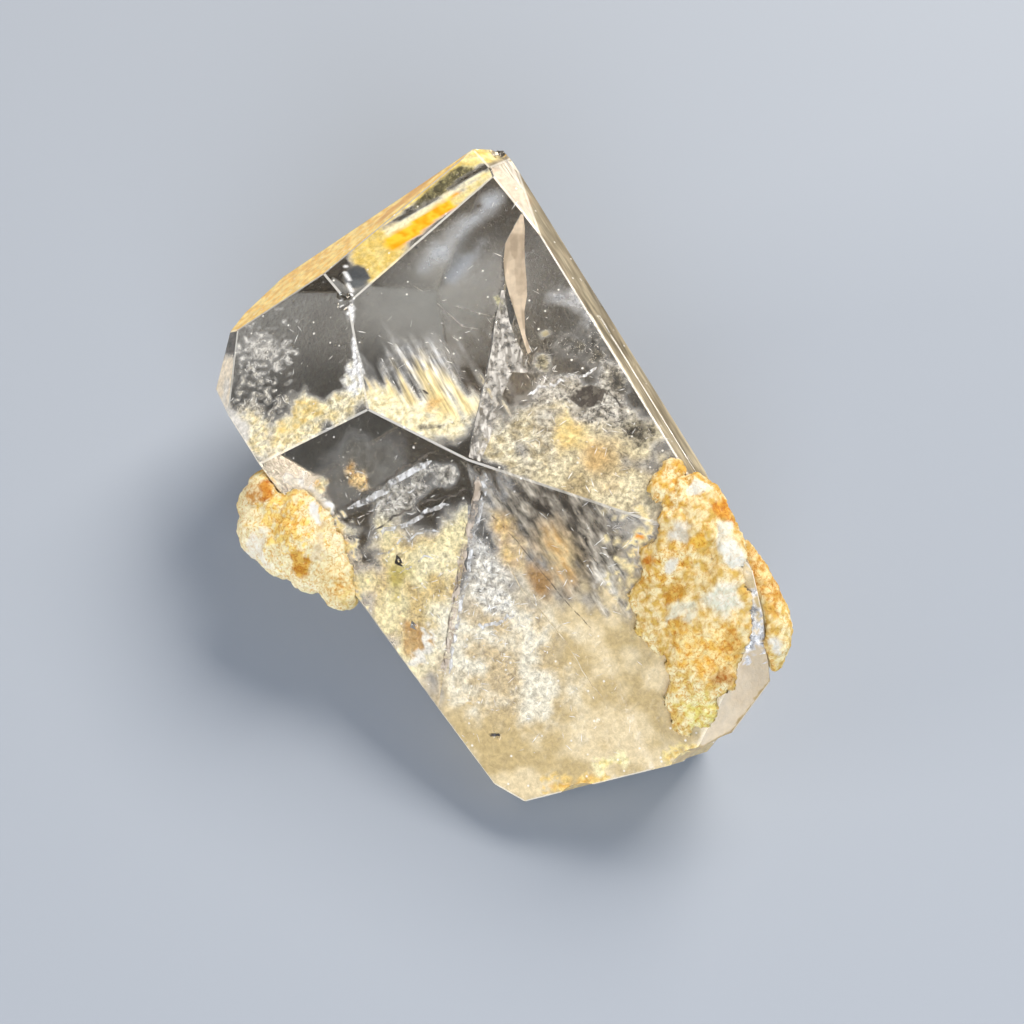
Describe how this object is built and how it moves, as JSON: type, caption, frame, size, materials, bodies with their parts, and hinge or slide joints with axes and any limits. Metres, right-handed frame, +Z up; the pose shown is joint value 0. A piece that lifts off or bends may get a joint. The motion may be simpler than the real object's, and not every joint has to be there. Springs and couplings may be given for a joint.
{
  "type": "topaz crystal",
  "caption": "Clear champagne topaz crystal lying on its side, with flat prism and dome faces, a broken base and lumps of ochre and white matrix.",
  "frame": {"origin": "middle of the footprint, on the plane that the crystal rests on", "axes": "+Z up, +Y along the crystal from its broken base towards its termination"},
  "size_m": [0.0344, 0.0536, 0.0252],
  "materials": {
    "topaz": "clear crystal with polished natural faces, etched towards the base",
    "limonite_matrix": "rough, granular, earthy"
  },
  "bodies": {
    "root": {"topaz_crystal": "topaz", "matrix_knob": "limonite_matrix", "matrix_crust": "limonite_matrix", "edge_crust": "limonite_matrix"}
  },
  "joints": []
}
